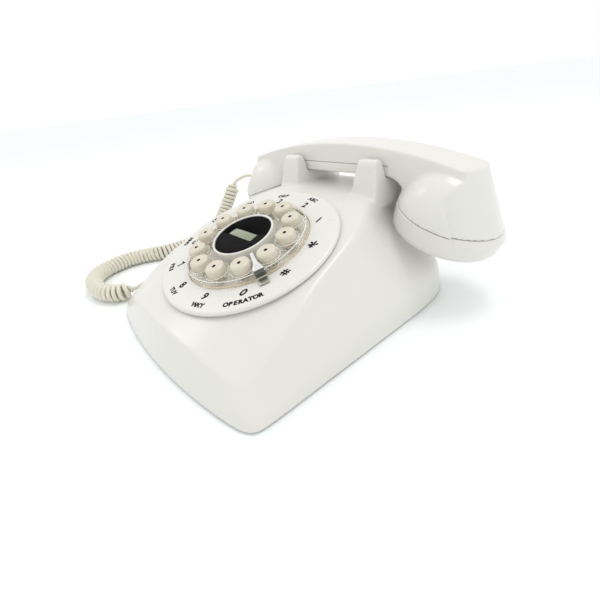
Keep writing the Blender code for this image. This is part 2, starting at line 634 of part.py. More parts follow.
def build_handset():
    bar = outline_mesh("handset_shell", handle_outline(), HANDLE_WIDTH)
    bar.transform(Matrix.Translation(mm(0, HANDSET_Y, 0)) @ Matrix.Rotation(math.radians(90), 4, "X"))
    shell = add_part("handset_shell", bar, (IVORY, 0.25))
    edge = shell.modifiers.new("round", "BEVEL")
    edge.width = 0.0032
    edge.segments = 3
    edge.limit_method = "ANGLE"
    edge.angle_limit = math.radians(35)
    for side, word in ((-1, "left"), (1, "right")):
        cup = add_cutter("cup_" + word, cup_mesh(), **cup_place(side))
        spin(cup, 32)
        boolean(shell, cup, "UNION")
        hollow = [(0, 16), (12, 16), (20, 9), (25, 3.5), (27.5, 1), (27.5, -2), (0, -2)]
        hollow = add_cutter("hollow_" + word, turned_mesh("hollow", hollow), **cup_place(side))
        spin(hollow, 20)
        boolean(shell, hollow)
        turn = 0 if side > 0 else 180
        boolean(shell, add_cutter("end_face_" + word, end_mesh(), rotation=(0, -END_LEAN, turn),
                                  location=(side * END_FOOT[0], HANDSET_Y, END_FOOT[1])))
    notch = box_mesh("insert_notch", (-INSERT_HALF_LENGTH - GAP, 0, 60),
                     (INSERT_HALF_LENGTH + GAP, 150, HANDLE_SEAM))
    boolean(shell, add_cutter("insert_notch", notch))
    half = HANDLE_WIDTH / 2
    insert = box_mesh("handle_insert", (-INSERT_HALF_LENGTH, HANDSET_Y - half, HANDLE_UNDERSIDE),
                      (INSERT_HALF_LENGTH, HANDSET_Y + half, HANDLE_SEAM - GAP), 1.6, 2)
    add_part("handle_insert", insert, (IVORY, 0.25))
    socket = box_mesh("plug_socket", (-7, -3.5, -3.5), (9, 3.5, 3.5))
    boolean(shell, add_cutter("plug_socket", socket, **handset_plug_place()))
    build_caps()


def handset_plug_place():
    """The socket in the handset's left end, square to that end."""
    lean = math.radians(END_LEAN)
    up = 10.0
    x = -END_FOOT[0] + up * math.sin(lean)
    return {"location": (x, HANDSET_Y, END_FOOT[1] + up * math.cos(lean)),
            "rotation": (0, END_LEAN, 0)}


def build_caps():
    """Screw-on caps with sound holes, each over its capsule."""
    outer = [(33.8, -GAP), (CUP_RADIUS, -1.2), (34.0, -7.5), (33.4, -12.0), (31.8, -15.0),
             (29.2, -CAP_HEIGHT), (25.0, -15.9), (17.5, -15.0), (0, -14.6)]
    inner = [(0, -12.8), (17.5, -13.2), (28.6, -13.8), (31.0, -11.4), (31.8, -7.0), (31.8, -GAP)]
    capsule = [(0, -4.0), (26.0, -4.0), (27.0, -5.0), (27.0, -11.6), (25.0, -12.4), (0, -12.4)]
    patterns = {
        "receiver": [(0, 0)] + [on_circle(7.0, 60 * i) for i in range(6)],
        "transmitter": [on_circle(5.0, 90 * i) for i in range(4)]
        + [on_circle(13.0, 36 * i) for i in range(10)],
    }
    for word, side in (("receiver", 1), ("transmitter", -1)):
        cap = turned_part(word + "_cap", outer + inner, (IVORY, 0.25), 32, **cup_place(side))
        holes = rod_mesh("sound_holes", patterns[word], 1.1, -20, -8, 6)
        boolean(cap, add_cutter(word + "_holes", holes, **cup_place(side)))
        turned_part(word + "_capsule", capsule, (DARK_GREY, 0.5), 20, **cup_place(side))


# ---------------------------------------------------------------- handset cord
def build_cord():
    cord_part("curly_cord", COIL_ROUTE, COIL_RADIUS, 12.0, (CORD_CREAM, 0.45))
    cord_part("cord_lead_handset", HANDSET_LEAD_ROUTE, CORD_RADIUS, 4.0, (CORD_CREAM, 0.45))
    cord_part("cord_lead_base", BASE_LEAD_ROUTE, CORD_RADIUS, 3.0, (CORD_CREAM, 0.45))
    base_plug = box_mesh("cord_plug_base", (-86.6, BASE_PLUG_Y - 3.3, BASE_PLUG_Z - 3.3),
                         (-70.5, BASE_PLUG_Y + 3.3, BASE_PLUG_Z + 3.3), 0.5, 1)
    add_part("cord_plug_base", base_plug, (CLEAR, 0.15))
    handset_plug = box_mesh("cord_plug_handset", (-6.8, -3.1, -3.1), (5.0, 3.1, 3.1), 0.5, 1)
    add_part("cord_plug_handset", handset_plug, (CLEAR, 0.15), **handset_plug_place())


build_housing()
build_base()
build_electronics()
build_ringer()
build_hook()
build_dial()
build_handset()
build_cord()
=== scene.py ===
"""Looks of a desk telephone with a round push-button dial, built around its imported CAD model.

Everything is in the row frame of the CAD model, in metres.  Sizes are written in millimetres and
turned into metres by mm() and by the mesh helpers.  The cord and the camera come first, then the
materials, then one section for each part of the telephone.
"""
import math

import bmesh
import bpy
from mathutils import Matrix, Vector


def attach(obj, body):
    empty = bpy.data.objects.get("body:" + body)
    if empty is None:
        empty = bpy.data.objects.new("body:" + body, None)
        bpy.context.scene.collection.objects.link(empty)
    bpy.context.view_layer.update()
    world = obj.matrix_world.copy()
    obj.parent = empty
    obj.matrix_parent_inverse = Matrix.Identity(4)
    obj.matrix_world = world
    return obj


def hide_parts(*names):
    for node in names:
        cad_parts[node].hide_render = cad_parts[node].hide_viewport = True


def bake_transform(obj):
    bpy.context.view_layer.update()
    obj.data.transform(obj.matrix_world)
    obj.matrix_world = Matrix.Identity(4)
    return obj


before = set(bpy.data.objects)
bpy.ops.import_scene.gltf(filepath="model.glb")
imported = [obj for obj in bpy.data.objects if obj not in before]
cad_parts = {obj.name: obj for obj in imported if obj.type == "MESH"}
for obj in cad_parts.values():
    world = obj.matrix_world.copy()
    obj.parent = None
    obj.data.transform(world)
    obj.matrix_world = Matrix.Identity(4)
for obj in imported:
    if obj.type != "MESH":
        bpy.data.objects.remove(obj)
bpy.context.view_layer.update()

# ---------------------------------------------------------------- dimensions shared with the CAD
GAP = 0.3
FOOT_HEIGHT = 1.5
WALL = 2.4
DIAL_CENTRE = (0.0, -30.3, 52.6)
DIAL_TILT = 18.05
FACE_DROP = 3.0
DIAL_HOLE_RADIUS = 57.5
PLATE_RADIUS = 62.1
WHEEL_RADIUS = 42.4
WHEEL_TOP = 4.5
HUB_RADIUS = 21.4
HUB_TOP = 8.0
BUTTON_COUNT = 12
BUTTON_CIRCLE = 32.9
FIRST_BUTTON_ANGLE = 48.7
BUTTON_RADIUS = 6.5
BUTTON_TOP = 9.4
WELL_RADIUS = 7.2
STEM_RADIUS = 2.5
BUTTON_SKIRT = 2.4              # lower edge of a button's cap, down in its well
DOT_RADIUS = 1.2                # black dot at the middle of a button
STOP_ANGLE = -26.3
STOP_BEND = 42.4                # the finger stop bends down this far from the dial's middle
STOP_FOOT = 43.9                # and rests on the number plate from here outward
HANDSET_Y = 72.5
CUP_X = 83.6
CUP_Z = 57.5
CUP_TILT = 18.25
CUP_RADIUS = 34.2
CUP_HEIGHT = 31.0
CAP_HEIGHT = 16.3
CAP_SEAM = 0.15
HANDLE_TOP = 101.9
HANDLE_ARCH_RADIUS = 335.0
ARCH_HALF_LENGTH = 103.0
HANDLE_UNDERSIDE = 80.7
HANDLE_SEAM = 88.1
HANDLE_WIDTH = 31.0
END_FOOT = (113.8, 46.8)
END_LEAN = 19.6
END_BOW = 38.0
PLUG_RISE = 10.0                # height of the cord socket up the handset's left end
INSERT_HALF_LENGTH = 46.0
EAR_X = 36.8
SADDLE_Z = 80.3
BASE_PLUG_Y = -75.5
WIRE_RADIUS = 1.75
COIL_RADIUS = 7.4
TURN_PITCH = 3.9
COIL_EASING = 7.0               # length over which the coil closes down onto its leads


# ---------------------------------------------------------------- helpers
def mm(*values):
    return Vector(values) * 0.001


def smooth_step(t):
    t = min(max(t, 0.0), 1.0)
    return t * t * (3 - 2 * t)


def new_object(name, mesh, place=None):
    ob = bpy.data.objects.new(name, mesh)
    if place is not None:
        ob.matrix_world = place
    bpy.context.scene.collection.objects.link(ob)
    return ob


def shade(mesh, angle=35.0):
    """Smooth shading, with the edges sharper than an angle left crisp."""
    mesh.polygons.foreach_set("use_smooth", [True] * len(mesh.polygons))
    mesh.set_sharp_from_angle(angle=math.radians(angle))
    return mesh


def finished(name, bm, angle=35.0):
    mesh = bpy.data.meshes.new(name)
    bmesh.ops.recalc_face_normals(bm, faces=bm.faces)
    bm.to_mesh(mesh)
    bm.free()
    return shade(mesh, angle)


def placed(location=(0, 0, 0), rotation=(0, 0, 0)):
    turn = Matrix.Identity(4)
    for axis, angle in zip("XYZ", rotation):
        turn = Matrix.Rotation(math.radians(angle), 4, axis) @ turn
    return Matrix.Translation(mm(*location)) @ turn


def box_mesh(name, low, high, round_edges=0.0, segments=3):
    bm = bmesh.new()
    bmesh.ops.create_cube(bm, size=1.0)
    bmesh.ops.scale(bm, vec=mm(*high) - mm(*low), verts=bm.verts)
    bmesh.ops.translate(bm, vec=(mm(*high) + mm(*low)) / 2, verts=bm.verts)
    if round_edges:
        bmesh.ops.bevel(bm, geom=bm.edges[:], offset=round_edges * 0.001, segments=segments,
                        profile=0.5, affect="EDGES")
    return finished(name, bm)


def rod_mesh(name, spots, radius, low, high, sides=32):
    bm = bmesh.new()
    for x, y in spots:
        place = Matrix.Translation(mm(x, y, (low + high) / 2))
        bmesh.ops.create_cone(bm, cap_ends=True, segments=sides, radius1=radius * 0.001,
                              radius2=radius * 0.001, depth=(high - low) * 0.001, matrix=place)
    return finished(name, bm)


def rounded(profile, radius, closed=True, steps=4):
    """The profile with its corners turned into small arcs of about that radius."""
    points = [Vector(point) for point in profile]
    count = len(points)
    result = []
    for i, point in enumerate(points):
        if not closed and i in (0, count - 1):
            result.append(tuple(point))
            continue
        before, after = points[i - 1], points[(i + 1) % count]
        into, out = point - before, after - point
        turn = into.angle(out, 0.0)
        if turn < math.radians(12):
            result.append(tuple(point))
            continue
        cut = min(radius * math.tan(turn / 2), into.length * 0.45, out.length * 0.45)
        start, end = point - into.normalized() * cut, point + out.normalized() * cut
        for k in range(steps + 1):
            t = k / steps
            result.append(tuple(start.lerp(point, t).lerp(point.lerp(end, t), t)))
    return result


def turned_mesh(name, profile, steps=96, angle=35.0):
    """A profile of (radius, height) points turned about Z; it closes unless it meets the axis."""
    bm = bmesh.new()
    rings = []
    for radius, height in profile:
        if radius < 1e-6:
            rings.append([bm.verts.new(mm(0, 0, height))])
            continue
        rings.append([bm.verts.new(mm(radius * math.cos(2 * math.pi * i / steps),
                                      radius * math.sin(2 * math.pi * i / steps), height))
                      for i in range(steps)])
    pairs = list(zip(rings, rings[1:]))
    if len(rings[0]) > 1 and len(rings[-1]) > 1:
        pairs.append((rings[-1], rings[0]))
    for low, high in pairs:
        for i in range(steps):
            j = (i + 1) % steps
            corners = [low[i % len(low)], low[j % len(low)], high[j % len(high)],
                       high[i % len(high)]]
            unique = list(dict.fromkeys(corners))
            if len(unique) > 2:
                bm.faces.new(unique)
    return finished(name, bm, angle)


def apply_modifiers(ob):
    """Turn an object's modifiers into its mesh."""
    bpy.context.view_layer.update()
    graph = bpy.context.evaluated_depsgraph_get()
    mesh = bpy.data.meshes.new_from_object(ob.evaluated_get(graph))
    ob.modifiers.clear()
    old = ob.data
    ob.data = mesh
    bpy.data.meshes.remove(old)
    return ob


def cut(ob, mesh, place=None, operation="DIFFERENCE"):
    """Boolean with a mesh that is thrown away afterwards."""
    tool = new_object("tool", mesh, place)
    mod = ob.modifiers.new("cut", "BOOLEAN")
    mod.operation = operation
    mod.solver = "EXACT"
    mod.object = tool
    apply_modifiers(ob)
    bpy.data.objects.remove(tool, do_unlink=True)
    return ob


def joined(name, parts):
    """One mesh from several (mesh, placing) pairs."""
    bm = bmesh.new()
    for mesh, place in parts:
        part = mesh.copy()
        if place is not None:
            part.transform(place)
        bm.from_mesh(part)
        bpy.data.meshes.remove(part)
    mesh = bpy.data.meshes.new(name)
    bm.to_mesh(mesh)
    bm.free()
    return mesh


def moulded(ob, voxel, smoothing):
    """Melt overlapping closed shapes into one skin with small fillets where they meet."""
    remesh = ob.modifiers.new("skin", "REMESH")
    remesh.mode = "VOXEL"
    remesh.voxel_size = voxel * 0.001
    remesh.use_smooth_shade = True
    soft = ob.modifiers.new("soft", "SMOOTH")
    soft.factor = 0.5
    soft.iterations = smoothing
    apply_modifiers(ob)
    return ob


def show(ob, body, materials, stands_for=()):
    """Give a piece its materials and its body, and hide the CAD nodes that it stands for."""
    for mat in materials if isinstance(materials, (list, tuple)) else [materials]:
        ob.data.materials.append(mat)
    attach(ob, body)
    if stands_for:
        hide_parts(*stands_for)
    return ob


# ---------------------------------------------------------------- camera
def build_camera():
    """The view from the right front and a little above, close and with a wide lens."""
    right = Vector((0.62784, 0.76948, -0.11713))
    down = Vector((0.26033, -0.34942, -0.90007))
    forward = Vector((-0.73352, 0.53461, -0.41970))
    camera = bpy.data.objects.new("camera", bpy.data.cameras.new("camera"))
    camera.data.sensor_width = 36.0
    camera.data.lens = 21.62
    camera.data.shift_x = 0.0493
    camera.data.shift_y = -0.0611
    camera.data.clip_start = 0.01
    camera.data.clip_end = 50.0
    axes = Matrix((right, -down, -forward)).transposed().to_4x4()
    camera.matrix_world = Matrix.Translation((0.18802, -0.15052, 0.13866)) @ axes
    bpy.context.scene.collection.objects.link(camera)
    bpy.context.scene.camera = camera


build_camera()

# ---------------------------------------------------------------- materials
def node_material(name):
    mat = bpy.data.materials.new(name)
    mat.use_nodes = True
    tree = mat.node_tree
    shader = tree.nodes["Principled BSDF"]
    place = tree.nodes.new("ShaderNodeTexCoord").outputs["Object"]
    return mat, tree, shader, place


def noise(tree, place, scale, detail=3.0, roughness=0.5):
    node = tree.nodes.new("ShaderNodeTexNoise")
    node.inputs["Scale"].default_value = scale
    node.inputs["Detail"].default_value = detail
    node.inputs["Roughness"].default_value = roughness
    tree.links.new(place, node.inputs["Vector"])
    return node.outputs["Fac"]


def spread(tree, value, low, high, start=0.3, end=0.7):
    """Map a noise value onto a range."""
    node = tree.nodes.new("ShaderNodeMapRange")
    for key, number in (("From Min", start), ("From Max", end), ("To Min", low), ("To Max", high)):
        node.inputs[key].default_value = number
    tree.links.new(value, node.inputs["Value"])
    return node.outputs["Result"]


def two_tone(tree, value, first, second):
    node = tree.nodes.new("ShaderNodeMix")
    node.data_type = "RGBA"
    node.inputs[6].default_value = (*first, 1.0)
    node.inputs[7].default_value = (*second, 1.0)
    tree.links.new(value, node.inputs["Factor"])
    return node.outputs[2]


def add_bump(tree, shader, height, strength, distance):
    bump = tree.nodes.new("ShaderNodeBump")
    bump.inputs["Strength"].default_value = strength
    bump.inputs["Distance"].default_value = distance
    tree.links.new(height, bump.inputs["Height"])
    tree.links.new(bump.outputs["Normal"], shader.inputs["Normal"])


def moulded_plastic(name, colour, aged, roughness, grain=900.0, bump=0.05, coat=0.0, gleam=0.5):
    """Injection-moulded plastic: faint toning, a slightly uneven gloss and a very fine skin."""
    mat, tree, shader, place = node_material(name)
    toning = spread(tree, noise(tree, place, 14.0, 4.0), 0.0, 1.0)
    tree.links.new(two_tone(tree, toning, colour, aged), shader.inputs["Base Color"])
    gloss = spread(tree, noise(tree, place, 60.0, 5.0, 0.6), roughness * 0.82, roughness * 1.2)
    tree.links.new(gloss, shader.inputs["Roughness"])
    add_bump(tree, shader, noise(tree, place, grain, 2.0), bump, 0.00005)
    shader.inputs["IOR"].default_value = 1.5
    shader.inputs["Specular IOR Level"].default_value = gleam
    shader.inputs["Coat Weight"].default_value = coat
    shader.inputs["Coat Roughness"].default_value = 0.06
    mat.diffuse_color = (*colour, 1.0)
    return mat


def metal(name, colour, roughness, grain=300.0, stretch=(1.0, 1.0, 1.0), bump=0.1):
    """Metal whose gloss varies along its finish; stretch draws the grain out into brushing."""
    mat, tree, shader, place = node_material(name)
    mapping = tree.nodes.new("ShaderNodeMapping")
    mapping.inputs["Scale"].default_value = stretch
    tree.links.new(place, mapping.inputs["Vector"])
    value = noise(tree, mapping.outputs["Vector"], grain, 4.0, 0.6)
    darker = tuple(0.86 * part for part in colour)
    tree.links.new(two_tone(tree, spread(tree, value, 0.0, 1.0), colour, darker),
                   shader.inputs["Base Color"])
    tree.links.new(spread(tree, value, roughness * 0.7, roughness * 1.35),
                   shader.inputs["Roughness"])
    add_bump(tree, shader, value, bump, 0.00004)
    shader.inputs["Metallic"].default_value = 1.0
    return mat


def clear_plastic(name, colour, roughness=0.03, cover=1.0):
    """Clear acrylic with a little haze and tint; a low cover lets most light straight through."""
    mat, tree, shader, place = node_material(name)
    haze = spread(tree, noise(tree, place, 120.0, 3.0), roughness * 0.5, roughness * 1.6)
    tree.links.new(haze, shader.inputs["Roughness"])
    tone = two_tone(tree, spread(tree, noise(tree, place, 40.0), 0.0, 1.0), colour,
                    tuple(min(1.0, 0.96 * part) for part in colour))
    tree.links.new(tone, shader.inputs["Base Color"])
    shader.inputs["Transmission Weight"].default_value = 1.0
    shader.inputs["IOR"].default_value = 1.49
    shader.inputs["Alpha"].default_value = cover
    return mat


def circuit_board(name):
    """Green solder mask with fine copper tracks under it."""
    mat, tree, shader, place = node_material(name)
    tracks = tree.nodes.new("ShaderNodeTexBrick")
    tracks.inputs["Scale"].default_value = 260.0
    tracks.inputs["Mortar Size"].default_value = 0.035
    tree.links.new(place, tracks.inputs["Vector"])
    tree.links.new(two_tone(tree, tracks.outputs["Fac"], (0.02, 0.14, 0.05), (0.09, 0.28, 0.10)),
                   shader.inputs["Base Color"])
    tree.links.new(spread(tree, noise(tree, place, 200.0), 0.3, 0.45), shader.inputs["Roughness"])
    return mat


def wound_wire(name):
    """Enamelled copper wire, wound turn beside turn along X."""
    mat, tree, shader, place = node_material(name)
    wave = tree.nodes.new("ShaderNodeTexWave")
    wave.bands_direction = "X"
    wave.inputs["Scale"].default_value = 620.0
    wave.inputs["Distortion"].default_value = 0.6
    tree.links.new(place, wave.inputs["Vector"])
    tree.links.new(two_tone(tree, wave.outputs["Fac"], (0.20, 0.06, 0.02), (0.72, 0.32, 0.14)),
                   shader.inputs["Base Color"])
    add_bump(tree, shader, wave.outputs["Fac"], 0.6, 0.0003)
    shader.inputs["Metallic"].default_value = 0.8
    shader.inputs["Roughness"].default_value = 0.35
    return mat


IVORY = moulded_plastic("ivory_plastic", (0.735, 0.725, 0.685), (0.72, 0.705, 0.66), 0.22)
IVORY_DIAL = moulded_plastic("ivory_dial_plastic", (0.745, 0.735, 0.70), (0.73, 0.715, 0.675), 0.3)
CREAM = moulded_plastic("cream_button_plastic", (0.67, 0.62, 0.51), (0.64, 0.58, 0.46), 0.3)
# The pan is cream, but its colour is lightened beyond that as painted light, making up for the shade
# the clear wheel and buttons cast on it.
CREAM_PAN_PAINTED_LIGHT = moulded_plastic("cream_pan_plastic_painted_light", (0.93, 0.91, 0.84), (0.90, 0.87, 0.78), 0.3)
CORD_VINYL = moulded_plastic("cord_vinyl", (0.76, 0.73, 0.63), (0.72, 0.68, 0.56), 0.34, 1500.0, 0.1)
INK = moulded_plastic("black_ink", (0.008, 0.008, 0.009), (0.014, 0.014, 0.015), 0.5, gleam=0.12)
SATIN_BLACK = moulded_plastic("black_card_plastic", (0.003, 0.003, 0.0035), (0.005, 0.005, 0.0055),
                              0.4, gleam=0.02)
DARK = moulded_plastic("dark_grey_plastic", (0.045, 0.045, 0.05), (0.06, 0.06, 0.065), 0.45, 700.0,
                       0.25)
KNOB_BLACK = moulded_plastic("black_knob_plastic", (0.02, 0.02, 0.02), (0.03, 0.03, 0.03), 0.4)
RUBBER = moulded_plastic("foot_rubber", (0.03, 0.03, 0.03), (0.05, 0.05, 0.048), 0.75, 500.0, 0.5)
LCD = moulded_plastic("display_glass", (0.23, 0.25, 0.165), (0.26, 0.28, 0.19), 0.16, coat=0.5)
CHROME = metal("chrome", (0.90, 0.90, 0.89), 0.07, 80.0, bump=0.02)
DULL_CHROME = metal("dull_chrome", (0.50, 0.50, 0.44), 0.25, 80.0, bump=0.02)
# Chrome darkened for the finger stop's bend: a painted dark reflection, not a different metal.
PAINTED_DARK_REFLECTION_CHROME = metal("chrome_bend_painted_dark_reflection", (0.13, 0.14, 0.12), 0.2, 80.0, bump=0.02)
STEEL = metal("zinc_steel", (0.56, 0.57, 0.58), 0.34, 400.0, (1.0, 12.0, 1.0))
BRASS = metal("brass", (0.78, 0.58, 0.26), 0.2, 200.0)
CLEAR = clear_plastic("clear_acrylic", (0.985, 0.975, 0.945), cover=0.08)
# Painted glint in amber: a thin ring coloured for the light refracted in the clear wheel's rim.
PAINTED_AMBER_GLINT = moulded_plastic("painted_amber_glint_acrylic_edge", (0.66, 0.52, 0.30), (0.74, 0.62, 0.40), 0.15)
# Painted glint: a bright colour for thin rings that stand in for light caught in the clear wheel's
# edges.
PAINTED_GLINT = moulded_plastic("painted_glint_acrylic_edge", (0.93, 0.92, 0.88), (0.86, 0.84, 0.78), 0.1)
PLUG_CLEAR = clear_plastic("clear_plug_plastic", (0.93, 0.95, 0.94), 0.08)
BOARD = circuit_board("circuit_board")
COPPER = wound_wire("copper_winding")

# ---------------------------------------------------------------- handset cord
COIL_ROUTE = [
    (-142.0, 57.0, 58.6), (-143.0, 50.0, 48.0), (-144.5, 43.0, 36.0), (-146.0, 33.0, 22.5),
    (-148.0, 18.0, 11.8), (-149.0, 0.0, 7.5), (-149.5, -15.0, 7.5), (-153.0, -32.0, 7.5),
    (-161.0, -47.0, 7.5), (-166.0, -61.0, 7.5), (-165.0, -77.0, 7.5), (-159.5, -92.5, 7.5),
    (-148.0, -103.0, 7.5), (-133.0, -107.0, 7.5), (-118.0, -106.5, 7.5), (-106.0, -102.0, 7.5),
    (-98.6, -94.0, 7.5), (-97.0, -85.0, 7.5),
]
HANDSET_LEAD_ROUTE = [
    (-117.8, 72.5, 58.8), (-121.5, 72.5, 60.3), (-126.0, 72.0, 62.6), (-130.6, 70.4, 64.6),
    (-135.0, 67.2, 64.6), (-138.4, 63.4, 63.0), (-140.9, 60.0, 61.2), (-141.9, 57.5, 59.5),
]
BASE_LEAD_ROUTE = [
    (-97.0, -84.1, 7.5), (-96.6, -81.2, 8.0), (-95.0, -77.8, 9.6), (-91.6, -75.7, 10.9),
    (-87.2, -75.5, 11.0),
]


def smooth_route(points, spacing):
    """Evenly spaced points on a Catmull-Rom curve through a route's own points."""
    route = [Vector(point) for point in points]
    route = [2 * route[0] - route[1]] + route + [2 * route[-1] - route[-2]]
    fine = []
    for a, b, c, d in zip(route, route[1:], route[2:], route[3:]):
        for i in range(60):
            t = i / 60
            fine.append(0.5 * (2 * b + (c - a) * t + (2 * a - 5 * b + 4 * c - d) * t * t
                               + (3 * b - a - 3 * c + d) * t ** 3))
    fine.append(route[-2])
    total = sum((b - a).length for a, b in zip(fine, fine[1:]))
    count = max(2, round(total / spacing))
    result = [fine[0]]
    walked = 0.0
    for a, b in zip(fine, fine[1:]):
        step = (b - a).length
        while len(result) < count and walked + step >= total * len(result) / count:
            part = (total * len(result) / count - walked) / step
            result.append(a.lerp(b, part))
        walked += step
    result.append(fine[-1])
    return result


def carried_frames(points):
    """A pair of side directions at each point, carried along without twisting."""
    side = None
    frames = []
    for i, point in enumerate(points):
        ahead = (points[min(i + 1, len(points) - 1)] - points[max(i - 1, 0)]).normalized()
        if side is None:
            side = ahead.cross(Vector((0.3, 0.2, 1.0))).normalized()
        side = (side - ahead * side.dot(ahead)).normalized()
        frames.append((side, ahead.cross(side)))
    return frames


def tube_mesh(name, points, radius, sides=10):
    """A closed round tube along points in millimetres."""
    bm = bmesh.new()
    rings = []
    for point, (side, other) in zip(points, carried_frames(points)):
        rings.append([bm.verts.new((point + radius * (math.cos(2 * math.pi * k / sides) * side
                                    + math.sin(2 * math.pi * k / sides) * other)) * 0.001)
                      for k in range(sides)])
    for low, high in zip(rings, rings[1:]):
        for k in range(sides):
            j = (k + 1) % sides
            bm.faces.new((low[k], low[j], high[j], high[k]))
    bm.faces.new(rings[0][::-1])
    bm.faces.new(rings[-1])
    return finished(name, bm, 60.0)


def cord_centreline():
    """The wire's own line: out of the base's plug, round and round its coil, into the handset."""
    spine = smooth_route(COIL_ROUTE[::-1], 0.35)
    long = sum((b - a).length for a, b in zip(spine, spine[1:]))
    turns = round(long / TURN_PITCH)
    wide = COIL_RADIUS - WIRE_RADIUS
    points = smooth_route(BASE_LEAD_ROUTE[::-1], 1.2)
    for i, (centre, (side, other)) in enumerate(zip(spine, carried_frames(spine))):
        share = i / (len(spine) - 1)
        from_end = min(share, 1 - share) * long
        swing = wide * smooth_step(from_end / COIL_EASING)
        angle = 2 * math.pi * turns * share
        points.append(centre + swing * (math.cos(angle) * side + math.sin(angle) * other))
    return points + smooth_route(HANDSET_LEAD_ROUTE[::-1], 1.2)


def build_cord():
    points = cord_centreline()
    cord = new_object("handset_cord", tube_mesh("handset_cord", points, WIRE_RADIUS))
    cord.data.materials.append(CORD_VINYL)
    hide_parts("curly_cord", "cord_lead_handset", "cord_lead_base")
    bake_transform(cord)


build_cord()

# ---------------------------------------------------------------- housing
# The right half of the housing, as rings of a coarse cage from the table up to the dial opening.
# Every ring runs from the front middle round the side to the back middle.
FOOT_LINE = [
    (0, -109.2, -1.0), (30, -108.0, -1.0), (58, -104.5, -1.0), (77, -101.0, -1.0), (85.3, -96.8, -1.0),
    (85.7, -88, -1.0), (85.5, -60, -1.0), (85.5, -30, -1.0), (85.5, 0, -1.0), (85.5, 28, -1.0),
    (85.5, 57, -1.0), (78, 83.5, -1.0), (52, 94, -1.0), (26, 94, -1.0), (0, 94, -1.0),
]
SKIRT_LINE = [
    (0, -106.9, 7.5), (30, -105.8, 7.5), (57.4, -102.7, 7), (75.5, -99.5, 6), (83.3, -95.9, 5.6),
    (84.5, -87.5, 6), (84.3, -60, 9.6), (84.8, -30, 13), (85.0, 0, 15), (85.2, 28, 18),
    (85.3, 57, 23), (77, 82.5, 23), (52, 94, 23), (26, 94, 23), (0, 94, 23),
]
FLANK_LINE = [
    (0, -104.0, 16), (30, -103.0, 16), (56.5, -100.4, 14), (70.6, -97.6, 11.5), (77.4, -94.0, 10.5),
    (79.4, -86.6, 12.5), (80.0, -60, 22), (76.6, -30, 29), (75.5, 0, 34), (74.5, 28, 36),
    (66, 56, 33.5), (63, 77, 33.5), (46, 94, 38), (24, 94, 38), (0, 94, 38),
]
SHOULDER_LINE = [
    (0, -101.7, 22.4), (30, -100.8, 22.2), (55.4, -98.4, 19), (67.2, -95.8, 15.8),
    (73.2, -92.2, 14.0), (75.6, -85.3, 17.0), (75.4, -60, 31.0), (69.2, -30, 41.5), (67.4, 0, 49),
    (63, 26, 52), (47, 48, 52), (44.5, 75, 54), (38, 93.8, 56), (22, 94, 56), (0, 94, 56),
]
CREST_LINE = [
    (0, -100.4, 25.6), (30, -99.6, 25.2), (54.4, -97.2, 22.0), (65.4, -94.4, 18.4),
    (71.0, -90.8, 16.4), (73.6, -84.0, 19.8), (73.8, -60, 35.4), (66.4, -30, 48.2), (64, 0, 59.0),
    (56, 25, 66.6), (44.5, 47, 70.6), (43, 75, 71.5), (37, 93.2, 71.5), (22, 93.4, 71.3),
    (0, 93.4, 71.3),
]
BROW_LINE = [
    (0, -95.0, 27.2), (29, -94.2, 26.9), (51, -91.6, 25.0), (60, -88.6, 22.8), (64.4, -84.6, 22.6),
    (67.0, -77, 26.8), (67.6, -56, 39.6), (62.6, -29, 49.5), (59.2, -2, 58.4), (50, 21, 66.2),
    (39.5, 33.5, 70.23), (33, 39, 71.9), (24, 41, 71.9), (12, 41.5, 71.9), (0, 41.5, 71.9),
]
CREST_SHARPNESS = (0.62, 0.62, 0.62, 0.62, 0.55, 0.42, 0.3, 0.22, 0.12, 0.1, 0.15, 0.3, 0.3, 0.3)


def face_height(y, drop=FACE_DROP):
    """Height of the sloping face at y, a given drop below the number plate's top."""
    tilt = math.radians(DIAL_TILT)
    return DIAL_CENTRE[2] - drop / math.cos(tilt) + (y - DIAL_CENTRE[1]) * math.tan(tilt)


def dial_opening_line(count):
    points = []
    tilt = math.radians(DIAL_TILT)
    for i in range(count):
        angle = math.radians(-90 + 180 * i / (count - 1))
        across = DIAL_HOLE_RADIUS * math.cos(angle)
        along = DIAL_HOLE_RADIUS * math.sin(angle)
        y = DIAL_CENTRE[1] + along * math.cos(tilt) + FACE_DROP * math.sin(tilt)
        points.append((across if 0 < i < count - 1 else 0.0, y, face_height(y)))
    return points


def housing_cage():
    rings = [FOOT_LINE, SKIRT_LINE, FLANK_LINE, SHOULDER_LINE, CREST_LINE, BROW_LINE,
             dial_opening_line(len(BROW_LINE))]
    bm = bmesh.new()
    crease = bm.edges.layers.float.new("crease_edge")
    grid = [[bm.verts.new(mm(*point)) for point in ring] for ring in rings]
    for low, high in zip(grid, grid[1:]):
        for i in range(len(low) - 1):
            bm.faces.new((low[i], low[i + 1], high[i + 1], high[i]))
    crest = grid[rings.index(CREST_LINE)]
    for i, sharpness in enumerate(CREST_SHARPNESS):
        bm.edges.get((crest[i], crest[i + 1]))[crease] = sharpness
    mesh = bpy.data.meshes.new("housing_skin")
    bm.to_mesh(mesh)
    bm.free()
    return mesh


